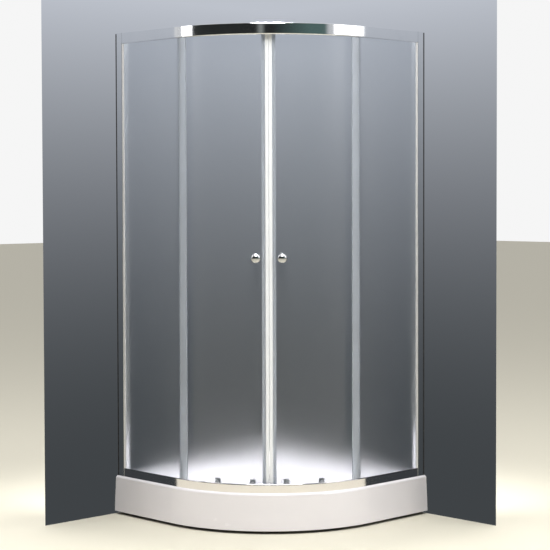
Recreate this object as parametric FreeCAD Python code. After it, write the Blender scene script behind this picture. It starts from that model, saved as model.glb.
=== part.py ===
"""Quadrant shower enclosure: tray, frame, two fixed panes and two curved sliding doors.

Origin: centre of the tray's square footprint, on the floor. +Z up.
The two walls are the planes x = -TRAY_SIDE / 2 and y = +TRAY_SIDE / 2; the curved front faces +X, -Y.
"Inset" is the distance inwards from the tray's foot outline, on the straight fronts and on the arc alike.
The enclosure is symmetric about the diagonal plane through both corners, so each left-hand piece is
modelled once, and its right-hand twin is its mirror image.
"""
import FreeCAD
import Part
import math
import os

from FreeCAD import Vector

os.makedirs("parts", exist_ok=True)

# ---------------------------------------------------------------- driving dimensions (mm)
TRAY_SIDE = 900.0            # footprint along each wall
TRAY_RADIUS = 550.0          # radius of the curved front at the foot of the skirt
TRAY_HEIGHT = 155.0          # floor to the top of the rim
ENCLOSURE_TOP = 1950.0       # floor to the top of the posts and the top rail
FLOOR_GAP = 12.0             # floor to the foot of the skirt

# tray moulding
SHELL = 4.0                  # wall of the moulding
SKIRT_FLARE = 7.0            # how far the skirt's foot stands out past the rim edge
RIM_EDGE_HEIGHT = 12.0       # upright band at the top of the skirt
RIM_EDGE_RADIUS = 10.0       # rounding of the rim's front edge
RIM_FRONT = 78.0             # inset of the basin's edge along the front
RIM_WALL = 45.0              # width of the rim along the walls
BASIN_DEPTH = 50.0
BASIN_DRAFT = 12.0           # how far the basin's walls lean in
BASIN_CORNER = 60.0          # rounding of the basin's corners in plan
BASIN_FLOOR_RADIUS = 14.0    # rounding between the basin's walls and floor
DRAIN_FROM_WALL = 250.0      # waste centre from each wall
DRAIN_FALL = 6.0             # depth of the dish around the waste
DRAIN_DISH_RADIUS = 110.0
DRAIN_SEAT_RADIUS = 60.0     # flat bottom of the dish

# under the tray
BOARD_THICKNESS = 15.0
BOARD_MARGIN = 10.0          # from the board's edge to where the basin's floor rounding ends
TUBE = 25.0                  # square tube of the support frame
TUBE_WALL = 1.5
TUBE_END_MARGIN = 50.0       # tray's edge to the ends of the long tubes
OUTER_TUBE_MARGIN = 90.0     # tray's edge to the tubes next to the walls
INNER_TUBE_MARGIN = 250.0    # tray's edge to the two tubes under the front
INNER_END_MARGIN = 150.0     # tray's edge to the front ends of those two
STEM_RADIUS = 6.0
STEM_ENTRY = 14.0            # how far a foot stem runs up into its tube
NUT_ACROSS_FLATS = 19.0
NUT_HEIGHT = 8.0
PAD_RADIUS = 25.0
PAD_HEIGHT = 8.0
PAD_NECK_RADIUS = 11.0
PAD_NECK_HEIGHT = 5.0
PAD_FLOOR = 4.0              # pad material under the stem
PAD_ROUND = 2.5
THREAD_CLEARANCE = 0.05      # radial, between a screw or stem and its hole

# waste
WASTE_HOLE_RADIUS = 45.0
FLANGE_RADIUS = 56.0
FLANGE_BORE = 38.0
FLANGE_THICKNESS = 2.5
FLANGE_TAIL = 26.0           # threaded tail below the seat
WASTE_SEAL = 2.0
WASTE_LIP_RADIUS = 58.0
WASTE_LIP = 4.0
WASTE_CUP_RADIUS = 50.0
WASTE_CUP_DEPTH = 40.0
WASTE_WALL = 3.0
OUTLET_RADIUS = 20.0
OUTLET_LENGTH = 40.0         # outlet below the cup, for the pipe in the floor
COVER_RADIUS = 52.0
COVER_THICKNESS = 3.0
COVER_ROUND = 1.8
COVER_GAP = 3.0              # gap for the water between cover and flange
COVER_TAIL_RADIUS = 33.0
COVER_TAIL = 18.0
COVER_SLOTS = 4
COVER_SLOT_WIDTH = 12.0

# frame: depths across the front
RAIL_INSET = 17.0            # outer face of posts and rails
RAIL_WALL = 2.0
GLAZING_GAP = 3.0            # rail wall to fixed glass, filled by a gasket
GLASS = 5.0
DIVIDER_GAP = 1.5            # fixed glass to the rail's divider
DOOR_GAP = 15.0              # fixed glass to door glass
WHEEL_STANDOFF = 3.0         # door glass to wheel
AXLE_TAIL_SPACE = 4.5        # wheel to the rail's back wall
GASKET_FIT = 0.1             # gap between a gasket and what it touches

# frame: heights
TOP_RAIL_HEIGHT = 44.0
BOTTOM_RAIL_HEIGHT = 34.0
RAIL_EDGE = 1.0              # small bevel on the top rail's upper edge
FREE_EDGE_ROUND = 4.5        # height of the rounding along the rails' free edges
FREE_EDGE_STEPS = 6
RAIL_LIP = 1.0               # inward lip along the rails' free edges
RAIL_LIP_HEIGHT = 3.0
DIVIDER_TOP_DROP = 10.0      # top rail's lower edge to its divider
DIVIDER_BOTTOM_RISE = 14.0   # rim to the top of the bottom rail's divider
BACK_WALL_RISE = 8.0         # height of the bottom rail's back wall
FIXED_BOTTOM_GAP = 6.0       # rim to the fixed glass
FIXED_TOP_GAP = 14.0         # fixed glass to the top of the rail

# frame: posts and wall channels
POST_GAP = 7.0               # wall to post
POST_WIDTH = 33.0
POST_DEPTH = 30.0
POST_WALL = 1.8
POST_EDGE = 1.2
POST_WEB = 19.0              # from the post's wall side to its web
GLASS_ENTRY = 2.0            # post web to glass edge
GROOVE_WIDTH = 11.7          # glazing groove in the post
CHANNEL_FIT = 0.3            # post to wall channel
CHANNEL_REACH = 22.0         # how far the channel stands off the wall
CHANNEL_HOLE_RADIUS = 2.75
CHANNEL_HOLE_SPACINGS = (1500.0, 500.0)   # outer and inner pair of wall screws
CAP_THICKNESS = 2.0
WALL_SEAL = 1.5
GASKET_SHOW = 8.0            # gasket that shows beside the post
RAIL_END_GAP = 0.2
RAIL_FOOT_GAP = 0.5          # gaskets and strips stop this short of the rails

# frame: edge strip on each fixed pane
FIXED_OVERRUN = 42.0         # fixed glass runs on past the start of the arc
STRIP_LEAF = 1.3
STRIP_LAP = 8.0
STRIP_FIN = 5.0              # fin towards the door
STRIP_INSET = 19.0           # outer face of the nose, which follows the rails' curve
STRIP_REACH = 28.0           # glass edge to the nose's tip
STRIP_NOSE = 20.0            # width of the thick part of the nose
STRIP_NOSE_DEPTH = 4.5

# frame: screws and connectors
SCREW_RADIUS = 1.75
SCREW_HEAD_RADIUS = 3.5
SCREW_HEAD = 2.4
POST_SCREW_LENGTH = 8.0
POST_SCREW_HEIGHTS = (460.0, 1050.0, 1640.0)
RAIL_SCREW_LENGTH = 40.0
RAIL_SCREW_INSET = 38.0
CONNECTOR_LENGTH = 30.0
CONNECTOR_FIT = 0.2
CONNECTOR_HEIGHT = 20.0

# doors
DOOR_TRAVEL = 24.0           # degrees that each door turns about the arc's centre
DOOR_OVERLAP = 27.0          # door glass behind fixed glass, along the arc
SEAM_HALF = 15.0             # seam centre to door glass
MAGNET_GAP = 0.4             # seam centre to magnet strip
MAGNET_DEPTH = 12.0
MAGNET_EDGE = 2.0
SEAL_LEAF = 1.2
SEAL_LAP = 12.0
SEAL_BASE = 1.5
TRAIL_LAP = 10.0
TRAIL_FIN = 4.5
DOOR_TOP_LAP = 11.0          # door glass above the top rail's lower edge
DOOR_FOOT = 16.0             # rim to door glass

# knobs
KNOB_HEIGHT = 900.0          # above the rim
KNOB_FROM_SEAM = 50.0        # along the arc
KNOB_RADIUS = 18.5
KNOB_HEAD = 17.0
KNOB_DOME = 23.0             # radius of the domed face
KNOB_ROUND = 1.5
KNOB_NECK_RADIUS = 9.0
KNOB_NECK = 7.0
KNOB_BASE_RADIUS = 14.0
KNOB_BASE = 4.0
INNER_KNOB_RADIUS = 16.0
STUD_RADIUS = 4.0
STUD_ENTRY = 12.0
KNOB_HOLE_RADIUS = 6.0
GLASS_FIT = 0.3              # flat fittings to the curved glass

# rollers
LEAD_ROLLER = 66.0           # seam to the leading rollers, along the door glass
TRAIL_ROLLER = 208.0
TREAD_RADIUS = 8.0
FLANGE_RISE = 1.5
FLANGE_WIDTH = 1.2
RIB = 2.0                    # rib that the wheels run on
RIB_CLEARANCE = 1.3          # each side of the rib, for the turn into the straight
ROLL_CLEARANCE = 0.3         # wheel to rib, and wheel to the faces beside it
AXLE_RADIUS = 2.5
AXLE_SHOULDER = 3.6
AXLE_TAIL = 1.5
AXLE_HEAD_RADIUS = 4.0
RUNNING_FIT = 0.05
BRACKET_WIDTH = 24.0
BRACKET_STEM = 3.3
BRACKET_JAW = 3.2
BRACKET_INNER_JAW = 3.4
JAW_FIT = 0.4                # inner jaw to the glass
BRACKET_BRIDGE = 2.7
BRACKET_LAP = 8.0            # jaws down the glass, hidden behind the top rail's face
BRACKET_HEAD = 7.0           # stem above the axle
TRACK_CLEARANCE = 2.0        # bracket to the track above it
WHEEL_FLOOR_GAP = 2.5        # wheel flange to the track floor
TRACK_SETBACK = 0.5          # the track floor starts this far behind the wheel's outer face
CLAMP_SCREW_DROP = 4.0       # clamp screw below the glass's top edge
CLAMP_SCREW_RADIUS = 2.0
CLAMP_SCREW_HEAD = 3.0
CLAMP_SCREW_HEAD_RADIUS = 3.2
BOTTOM_AXLE_RISE = 18.0      # rim to the bottom wheels' axles
PLATE = 2.0
PLATE_WIDTH = 22.0
PLATE_MARGIN = 16.0          # plate above the button
PLATE_FOOT = 7.0             # plate below the axle

# roller release buttons
BUTTON_DROP = 1.6            # button centre below the bottom rail's top
BUTTON_RADIUS = 8.0
BUTTON_HEIGHT = 4.0
BUTTON_WALL = 1.2
BUTTON_ROUND = 1.0
BUTTON_TRAVEL = 3.0
BUTTON_PIN = 3.0
BUTTON_HOLE = 4.0
BUTTON_FIT = 0.3             # pressed button to the glass
LATCH_RADIUS = 4.5
LATCH = 1.5
LATCH_GAP = 2.0
SPRING_WIRE = 0.6
SPRING_RADIUS = 6.0
SPRING_TURNS = 3

# door stops
STOP_LENGTH = 12.0
STOP_GAP = 0.5
STOP_WIDTH = 8.0

# ---------------------------------------------------------------- derived places
HALF = TRAY_SIDE / 2
STRAIGHT = TRAY_SIDE - TRAY_RADIUS
ARC_CENTRE = Vector(STRAIGHT - HALF, HALF - STRAIGHT, 0)
Z_AXIS = Vector(0, 0, 1)
SEAM_ANGLE = -45.0           # direction of the doors' meeting line from the arc's centre
ARC_HALF = 45.0              # from the meeting line to the start of the straight front
OVERCUT = 1.0                # cutting tools run this far past the faces they open
TINY = 1e-4                  # tolerance for picking edges by position

FIXED_OUT = RAIL_INSET + RAIL_WALL + GLAZING_GAP
FIXED_IN = FIXED_OUT + GLASS
DIVIDER_OUT = FIXED_IN + DIVIDER_GAP
DIVIDER_IN = DIVIDER_OUT + RAIL_WALL
DOOR_OUT = FIXED_IN + DOOR_GAP
DOOR_IN = DOOR_OUT + GLASS
WHEEL_OUT = DOOR_IN + WHEEL_STANDOFF
WHEEL_WIDTH = RIB + 2 * RIB_CLEARANCE + 2 * FLANGE_WIDTH
WHEEL_IN = WHEEL_OUT + WHEEL_WIDTH
RIB_OUT = WHEEL_OUT + (WHEEL_WIDTH - RIB) / 2
RIB_IN = RIB_OUT + RIB
BACK_WALL = WHEEL_IN + AXLE_TAIL_SPACE
RAIL_BACK = BACK_WALL + RAIL_WALL
TRACK_EDGE = WHEEL_OUT + TRACK_SETBACK

RIM = TRAY_HEIGHT
RAIL_TOP = ENCLOSURE_TOP
RAIL_LOW = ENCLOSURE_TOP - TOP_RAIL_HEIGHT
BOTTOM_RAIL_TOP = RIM + BOTTOM_RAIL_HEIGHT
FLANGE_TIP = TREAD_RADIUS + FLANGE_RISE
DOOR_TOP = RAIL_LOW + DOOR_TOP_LAP
BRACKET_TOP = DOOR_TOP + GLASS_FIT + BRACKET_BRIDGE
TRACK_UNDER = BRACKET_TOP + TRACK_CLEARANCE
TRACK_FLOOR = TRACK_UNDER + RAIL_WALL
TOP_AXLE = TRACK_FLOOR + WHEEL_FLOOR_GAP + FLANGE_TIP
TOP_RIB = TOP_AXLE - TREAD_RADIUS - ROLL_CLEARANCE
DOOR_LOW = RIM + DOOR_FOOT
BOTTOM_AXLE = RIM + BOTTOM_AXLE_RISE
BOTTOM_RIB = BOTTOM_AXLE - TREAD_RADIUS - ROLL_CLEARANCE
BUTTON_Z = BOTTOM_RAIL_TOP - BUTTON_DROP
KNOB_Z = RIM + KNOB_HEIGHT

POST_END = POST_GAP + POST_WIDTH
POST_BACK = RAIL_INSET + POST_DEPTH
WEB_FACE = POST_GAP + POST_WEB + POST_WALL
GLASS_START = WEB_FACE + GLASS_ENTRY
GROOVE_BACK = RAIL_INSET + POST_WALL + GROOVE_WIDTH
RAIL_START = POST_END + RAIL_END_GAP
POST_TOP = ENCLOSURE_TOP - CAP_THICKNESS
STRIP_LOW = BOTTOM_RAIL_TOP + RAIL_FOOT_GAP
STRIP_TOP = RAIL_LOW - RAIL_FOOT_GAP
CONNECTOR_LOWS = (RAIL_TOP - RAIL_WALL - CONNECTOR_FIT - CONNECTOR_HEIGHT, RIM + RAIL_WALL + CONNECTOR_FIT)

BASIN_FLOOR = RIM - BASIN_DEPTH
DRAIN = Vector(DRAIN_FROM_WALL - HALF, HALF - DRAIN_FROM_WALL, 0)
SEAT = BASIN_FLOOR - DRAIN_FALL
SEAT_UNDER = SEAT - SHELL
BOARD_TOP = BASIN_FLOOR - SHELL
TUBE_TOP = BOARD_TOP - BOARD_THICKNESS
TUBE_LOW = TUBE_TOP - TUBE
TUBE_REACH = HALF - TUBE_END_MARGIN
OUTER_TUBE = HALF - OUTER_TUBE_MARGIN
INNER_TUBE = HALF - INNER_TUBE_MARGIN
INNER_TUBE_END = HALF - INNER_END_MARGIN


# ---------------------------------------------------------------- helpers
def save(shape, node):
    """Write one named piece."""
    shape.exportStep("parts/" + node + ".step")


def group(shapes):
    """Separate solids that share one node."""
    return Part.makeCompound(shapes)


def mirrored(shape):
    """The right-hand twin of a left-hand piece."""
    return shape.mirror(Vector(0, 0, 0), Vector(1, 1, 0))


def box(x0, x1, y0, y1, z0, z1):
    return Part.makeBox(x1 - x0, y1 - y0, z1 - z0, Vector(x0, y0, z0))


def tube(outer, inner, z0, z1, at):
    """Upright tube or ring."""
    place = Vector(at.x, at.y, z0)
    wall = Part.makeCylinder(outer, z1 - z0, place)
    return wall.cut(Part.makeCylinder(inner, z1 - z0, place))


def fused(shapes):
    return shapes[0].fuse(shapes[1:]).removeSplitter()


def pie(radius, z0, z1, start, end):
    """Upright pie slice about the arc's centre, between two directions in degrees."""
    slice_ = Part.makeCylinder(radius, z1 - z0, Vector(0, 0, z0), Z_AXIS, end - start)
    slice_.rotate(Vector(0, 0, 0), Z_AXIS, start)
    slice_.translate(ARC_CENTRE)
    return slice_


def shell_sector(out_inset, in_inset, z0, z1, start, end):
    """Curved wall between two insets and two directions."""
    outer = pie(TRAY_RADIUS - out_inset, z0, z1, start, end)
    inner = pie(TRAY_RADIUS - in_inset, z0, z1, start - OVERCUT, end + OVERCUT)
    return outer.cut(inner)


def on_left_arc(shape, from_seam):
    """Carry a piece drawn with its radius along +X to its direction on the left door."""
    placed = shape.copy()
    placed.rotate(Vector(0, 0, 0), Z_AXIS, SEAM_ANGLE - from_seam)
    placed.translate(ARC_CENTRE)
    return placed


def radial_rod(radius, out_inset, in_inset, z):
    """Rod along the radius, drawn along +X."""
    start = Vector(TRAY_RADIUS - in_inset, 0, z)
    return Part.makeCylinder(radius, in_inset - out_inset, start, Vector(1, 0, 0))


def radial_block(out_inset, in_inset, width, z0, z1):
    """Block across the radius, drawn along +X."""
    return box(TRAY_RADIUS - in_inset, TRAY_RADIUS - out_inset, -width / 2, width / 2, z0, z1)


def seam_degrees(length, inset):
    """Angle from the seam of a length along the arc at an inset."""
    return math.degrees(length / (TRAY_RADIUS - inset))


def front_sweep(section, start):
    """Sweep an (inset, z) section along the whole front, starting this far from each wall."""
    def face_at(x):
        points = [Vector(x, inset - HALF, z) for inset, z in section]
        return Part.Face(Part.makePolygon(points + points[:1]))
    straight = face_at(start - HALF).extrude(Vector(ARC_CENTRE.x + HALF - start, 0, 0))
    bend = face_at(ARC_CENTRE.x).revolve(ARC_CENTRE, Z_AXIS, 2 * ARC_HALF)
    return fused([straight, bend, mirrored(straight)])


def left_front(x0, x1, inset0, inset1, z0, z1):
    """Block on the left straight front, its x measured from the wall."""
    return box(x0 - HALF, x1 - HALF, inset0 - HALF, inset1 - HALF, z0, z1)


def outline(inset, wall_inset, z):
    """Footprint outline: straight walls and straight fronts joined by the arc."""
    wall = HALF - wall_inset
    front = HALF - inset
    radius = TRAY_RADIUS - inset
    middle = radius * math.sqrt(0.5)
    back = Vector(-wall, wall, z)
    right_end = Vector(front, wall, z)
    right_arc = Vector(front, ARC_CENTRE.y, z)
    arc_middle = Vector(ARC_CENTRE.x + middle, ARC_CENTRE.y - middle, z)
    left_arc = Vector(ARC_CENTRE.x, -front, z)
    left_end = Vector(-wall, -front, z)
    return Part.Wire([
        Part.LineSegment(back, right_end).toShape(),
        Part.LineSegment(right_end, right_arc).toShape(),
        Part.Arc(right_arc, arc_middle, left_arc).toShape(),
        Part.LineSegment(left_arc, left_end).toShape(),
        Part.LineSegment(left_end, back).toShape(),
    ])


def slab(inset, wall_inset, z0, z1):
    return Part.Face(outline(inset, wall_inset, z0)).extrude(Vector(0, 0, z1 - z0))


def level_edges(shape, z):
    """Edges that lie in one level plane."""
    return [e for e in shape.Edges if e.Vertexes and all(abs(v.Z - z) < TINY for v in e.Vertexes)]


def upright_edges(shape):
    """Edges that climb from one level to another."""
    return [e for e in shape.Edges if abs(e.Vertexes[0].Z - e.Vertexes[-1].Z) > OVERCUT]


# ---------------------------------------------------------------- tray
def tray_block(inset, top):
    """The skirt and rim as one block, shrunk by an inset; its front top edge is rounded."""
    band_low = RIM - RIM_EDGE_HEIGHT
    skirt = Part.makeLoft(
        [outline(inset, inset, FLOOR_GAP), outline(SKIRT_FLARE + inset, inset, band_low)], True, True)
    band = slab(SKIRT_FLARE + inset, inset, band_low, top)
    edges = []
    for edge in level_edges(band, top):
        middle = edge.CenterOfMass
        along_wall = abs(middle.x + HALF - inset) < TINY or abs(middle.y - HALF + inset) < TINY
        if not along_wall:
            edges.append(edge)
    band = band.makeFillet(RIM_EDGE_RADIUS - inset, edges)
    return skirt.fuse(band)


def basin(grow):
    """The basin's inside, grown by a wall."""
    top_wire = outline(RIM_FRONT - grow, RIM_WALL - grow, RIM)
    low_wire = outline(RIM_FRONT + BASIN_DRAFT - grow, RIM_WALL + BASIN_DRAFT - grow, BASIN_FLOOR - grow)
    hollow = Part.makeLoft([low_wire, top_wire], True, True)
    corners = []
    for edge in upright_edges(hollow):
        foot = edge.Vertexes[0]
        beside_arc = abs(foot.X - ARC_CENTRE.x) < TINY or abs(foot.Y - ARC_CENTRE.y) < TINY
        if not beside_arc:
            corners.append(edge)
    hollow = hollow.makeFillet(BASIN_CORNER + grow, corners)
    return hollow.makeFillet(BASIN_FLOOR_RADIUS + grow, level_edges(hollow, BASIN_FLOOR - grow))


def drain_dish(grow):
    """The shallow fall around the waste, grown by a wall."""
    return Part.makeCone(
        DRAIN_SEAT_RADIUS + grow, DRAIN_DISH_RADIUS + grow, DRAIN_FALL,
        Vector(DRAIN.x, DRAIN.y, SEAT - grow))


def tray_shell():
    skin = tray_block(0, RIM).cut(tray_block(SHELL, RIM - SHELL))
    bowl = basin(SHELL).fuse(drain_dish(SHELL))
    inside = basin(0).fuse(drain_dish(0))
    hole = Part.makeCylinder(WASTE_HOLE_RADIUS, BASIN_DEPTH, Vector(DRAIN.x, DRAIN.y, SEAT_UNDER - SHELL))
    return skin.fuse(bowl).cut(inside).cut(hole).removeSplitter()


def base_board():
    inset = RIM_FRONT + BASIN_DRAFT + BASIN_FLOOR_RADIUS + BOARD_MARGIN
    wall_inset = RIM_WALL + BASIN_DRAFT + BASIN_FLOOR_RADIUS + BOARD_MARGIN
    board = slab(inset, wall_inset, TUBE_TOP, BOARD_TOP)
    opening = Part.makeCylinder(
        DRAIN_DISH_RADIUS + SHELL + BOARD_MARGIN, BOARD_THICKNESS, Vector(DRAIN.x, DRAIN.y, TUBE_TOP))
    return board.cut(opening)


def square_tube(x0, x1, y):
    """Hollow square tube along X."""
    half = TUBE / 2
    outer = box(x0, x1, y - half, y + half, TUBE_LOW, TUBE_TOP)
    inner = box(x0, x1, y - half + TUBE_WALL, y + half - TUBE_WALL,
                TUBE_LOW + TUBE_WALL, TUBE_TOP - TUBE_WALL)
    return outer, outer.cut(inner)


FEET = [
    Vector(-OUTER_TUBE, OUTER_TUBE, 0),
    Vector(0, OUTER_TUBE, 0),
    Vector(OUTER_TUBE, OUTER_TUBE, 0),
    Vector(-OUTER_TUBE, 0, 0),
    Vector(-OUTER_TUBE, -OUTER_TUBE, 0),
    Vector(INNER_TUBE, -INNER_TUBE, 0),
]


def support_frame():
    """Two tubes each way, welded where they cross, with a hole over each foot."""
    wall_block, wall_tube = square_tube(-TUBE_REACH, TUBE_REACH, OUTER_TUBE)
    front_block, front_tube = square_tube(-TUBE_REACH, INNER_TUBE_END, -INNER_TUBE)
    blocks = wall_block.fuse(front_block)
    crossing = [mirrored(wall_tube).cut(blocks), mirrored(front_tube).cut(blocks)]
    frame = wall_tube.fuse([front_tube] + crossing)
    for foot in FEET:
        hole = Part.makeCylinder(
            STEM_RADIUS + THREAD_CLEARANCE, 2 * TUBE_WALL, Vector(foot.x, foot.y, TUBE_LOW - TUBE_WALL / 2))
        frame = frame.cut(hole)
    return frame.removeSplitter()


def foot_stem(at):
    low = Vector(at.x, at.y, PAD_FLOOR)
    return Part.makeCylinder(STEM_RADIUS, TUBE_LOW + STEM_ENTRY - PAD_FLOOR, low)


def foot_nut(at):
    corner = NUT_ACROSS_FLATS / math.sqrt(3)
    low = TUBE_LOW - NUT_HEIGHT
    points = [Vector(at.x + corner * math.cos(math.radians(60 * i)),
                     at.y + corner * math.sin(math.radians(60 * i)), low) for i in range(7)]
    nut = Part.Face(Part.makePolygon(points)).extrude(Vector(0, 0, NUT_HEIGHT))
    return nut.cut(Part.makeCylinder(STEM_RADIUS + THREAD_CLEARANCE, NUT_HEIGHT, Vector(at.x, at.y, low)))


def foot_pad(at):
    disc = Part.makeCylinder(PAD_RADIUS, PAD_HEIGHT, at)
    disc = disc.makeFillet(PAD_ROUND, level_edges(disc, PAD_HEIGHT))
    neck = Part.makeCylinder(PAD_NECK_RADIUS, PAD_HEIGHT + PAD_NECK_HEIGHT, at)
    socket = Part.makeCylinder(STEM_RADIUS + THREAD_CLEARANCE, TUBE_LOW, Vector(at.x, at.y, PAD_FLOOR))
    return disc.fuse(neck).cut(socket).removeSplitter()


# ---------------------------------------------------------------- waste
def waste_flange():
    tail_outer = WASTE_HOLE_RADIUS - WASTE_SEAL
    seat = SEAT + WASTE_SEAL
    plate = tube(FLANGE_RADIUS, FLANGE_BORE, seat, seat + FLANGE_THICKNESS, DRAIN)
    tail = tube(tail_outer, FLANGE_BORE, seat - FLANGE_TAIL, seat, DRAIN)
    return fused([plate, tail])


def waste_seals():
    """One flat ring above the tray and one below it."""
    bore = WASTE_HOLE_RADIUS - WASTE_SEAL + THREAD_CLEARANCE
    upper = tube(FLANGE_RADIUS, bore, SEAT, SEAT + WASTE_SEAL, DRAIN)
    lower = tube(WASTE_LIP_RADIUS, bore, SEAT_UNDER - WASTE_SEAL, SEAT_UNDER, DRAIN)
    return group([upper, lower])


def waste_body():
    """Cup that screws onto the flange's tail, with its outlet straight down."""
    top = SEAT_UNDER - WASTE_SEAL
    low = top - WASTE_CUP_DEPTH
    foot = low - OUTLET_LENGTH
    bore = WASTE_HOLE_RADIUS - WASTE_SEAL + THREAD_CLEARANCE
    cup = Part.makeCylinder(WASTE_CUP_RADIUS, WASTE_CUP_DEPTH, Vector(DRAIN.x, DRAIN.y, low))
    lip = Part.makeCylinder(WASTE_LIP_RADIUS, WASTE_LIP, Vector(DRAIN.x, DRAIN.y, top - WASTE_LIP))
    spigot = Part.makeCylinder(OUTLET_RADIUS, OUTLET_LENGTH, Vector(DRAIN.x, DRAIN.y, foot))
    hollow = Part.makeCylinder(bore, WASTE_CUP_DEPTH, Vector(DRAIN.x, DRAIN.y, low + WASTE_WALL))
    pipe = Part.makeCylinder(
        OUTLET_RADIUS - WASTE_WALL, OUTLET_LENGTH + WASTE_WALL, Vector(DRAIN.x, DRAIN.y, foot))
    return cup.fuse([lip, spigot]).cut(hollow).cut(pipe).removeSplitter()


def waste_cover():
    """Lift-off cover: a shallow domed disc on a slotted tail that hangs in the flange."""
    low = SEAT + WASTE_SEAL + FLANGE_THICKNESS + COVER_GAP
    disc = Part.makeCylinder(COVER_RADIUS, COVER_THICKNESS, Vector(DRAIN.x, DRAIN.y, low))
    disc = disc.makeFillet(COVER_ROUND, level_edges(disc, low + COVER_THICKNESS))
    tail = tube(COVER_TAIL_RADIUS, COVER_TAIL_RADIUS - WASTE_WALL, low - COVER_TAIL, low, DRAIN)
    half = COVER_SLOT_WIDTH / 2
    for i in range(COVER_SLOTS):
        slot = box(0, COVER_TAIL_RADIUS + WASTE_WALL, -half, half, low - COVER_TAIL, low - COVER_GAP)
        slot.rotate(Vector(0, 0, 0), Z_AXIS, 360.0 / COVER_SLOTS * i)
        slot.translate(DRAIN)
        tail = tail.cut(slot)
    return fused([disc, tail])


# ---------------------------------------------------------------- frame
def rounded_free_edge(edge, side):
    """Points round a rail's free edge, from its face to its lip; side is 1 for an upper edge."""
    points = []
    for step in range(FREE_EDGE_STEPS + 1):
        turn = math.radians(90) * step / FREE_EDGE_STEPS
        inset = RAIL_INSET + (RAIL_WALL + RAIL_LIP) * (1 - math.cos(turn))
        points.append((inset, edge - side * FREE_EDGE_ROUND * (1 - math.sin(turn))))
    return points


def top_rail():
    """Hooded rail: outer face, groove for the fixed glass, and the track inside."""
    section = [
        (RAIL_INSET, RAIL_TOP - RAIL_EDGE),
        (RAIL_INSET + RAIL_EDGE, RAIL_TOP),
        (RAIL_BACK, RAIL_TOP),
        (RAIL_BACK, TRACK_UNDER),
        (TRACK_EDGE, TRACK_UNDER),
        (TRACK_EDGE, TRACK_FLOOR),
        (RIB_OUT, TRACK_FLOOR),
        (RIB_OUT, TOP_RIB),
        (RIB_IN, TOP_RIB),
        (RIB_IN, TRACK_FLOOR),
        (BACK_WALL, TRACK_FLOOR),
        (BACK_WALL, RAIL_TOP - RAIL_WALL),
        (DIVIDER_IN, RAIL_TOP - RAIL_WALL),
        (DIVIDER_IN, RAIL_LOW + DIVIDER_TOP_DROP),
        (DIVIDER_OUT, RAIL_LOW + DIVIDER_TOP_DROP),
        (DIVIDER_OUT, RAIL_TOP - RAIL_WALL),
        (RAIL_INSET + RAIL_WALL, RAIL_TOP - RAIL_WALL),
        (RAIL_INSET + RAIL_WALL, RAIL_LOW + RAIL_LIP_HEIGHT),
        (RAIL_INSET + RAIL_WALL + RAIL_LIP, RAIL_LOW + RAIL_LIP_HEIGHT),
        *reversed(rounded_free_edge(RAIL_LOW, -1)),
    ]
    return front_sweep(section, RAIL_START)


def bottom_rail():
    """Rail on the rim: outer face, groove for the fixed glass, and the guide rib."""
    base = RIM + RAIL_WALL
    section = [
        (RAIL_INSET, RIM),
        *rounded_free_edge(BOTTOM_RAIL_TOP, 1),
        (RAIL_INSET + RAIL_WALL + RAIL_LIP, BOTTOM_RAIL_TOP - RAIL_LIP_HEIGHT),
        (RAIL_INSET + RAIL_WALL, BOTTOM_RAIL_TOP - RAIL_LIP_HEIGHT),
        (RAIL_INSET + RAIL_WALL, base),
        (DIVIDER_OUT, base),
        (DIVIDER_OUT, RIM + DIVIDER_BOTTOM_RISE),
        (DIVIDER_IN, RIM + DIVIDER_BOTTOM_RISE),
        (DIVIDER_IN, base),
        (RIB_OUT, base),
        (RIB_OUT, BOTTOM_RIB),
        (RIB_IN, BOTTOM_RIB),
        (RIB_IN, base),
        (BACK_WALL, base),
        (BACK_WALL, RIM + BACK_WALL_RISE),
        (RAIL_BACK, RIM + BACK_WALL_RISE),
        (RAIL_BACK, RIM),
    ]
    return front_sweep(section, RAIL_START)


def frame_screw(start, direction, length):
    """Pan-head screw whose head's underside is at the start."""
    head = Part.makeCylinder(SCREW_HEAD_RADIUS, SCREW_HEAD, start, direction * -1)
    shank = Part.makeCylinder(SCREW_RADIUS, length, start, direction)
    return head.fuse(shank).removeSplitter()


def post_screw_places():
    """Where the post is screwed to its channel, from the shower's inside."""
    x = POST_GAP + POST_WEB / 2 - HALF
    return [Vector(x, POST_BACK - HALF, z) for z in POST_SCREW_HEIGHTS]


def rail_screw_places():
    """Where the post is screwed to the rail connectors, through the post's web."""
    x = POST_GAP + POST_WEB - HALF
    return [Vector(x, RAIL_SCREW_INSET - HALF, low + CONNECTOR_HEIGHT / 2) for low in CONNECTOR_LOWS]


def screw_holes(shape):
    """Cut the screw holes of the left corner out of a left-hand piece."""
    radius = SCREW_RADIUS + THREAD_CLEARANCE
    for place in post_screw_places():
        shape = shape.cut(Part.makeCylinder(radius, POST_SCREW_LENGTH, place, Vector(0, -1, 0)))
    for place in rail_screw_places():
        shape = shape.cut(Part.makeCylinder(radius, RAIL_SCREW_LENGTH, place, Vector(1, 0, 0)))
    return shape


def left_post():
    """Extruded post: open towards the wall channel, with the glazing groove on its other side."""
    body = left_front(POST_GAP, POST_END, RAIL_INSET, POST_BACK, RIM, POST_TOP)
    body = body.makeFillet(POST_EDGE, upright_edges(body))
    front = RAIL_INSET + POST_WALL
    back = POST_BACK - POST_WALL
    cavity = left_front(POST_GAP, POST_GAP + POST_WEB, front, back, RIM, POST_TOP)
    groove = left_front(WEB_FACE, POST_END, front, GROOVE_BACK, RIM, POST_TOP)
    pocket = left_front(WEB_FACE, POST_END - POST_WALL, GROOVE_BACK + POST_WALL, back, RIM, POST_TOP)
    return screw_holes(body.cut(cavity).cut(groove).cut(pocket))


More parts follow.
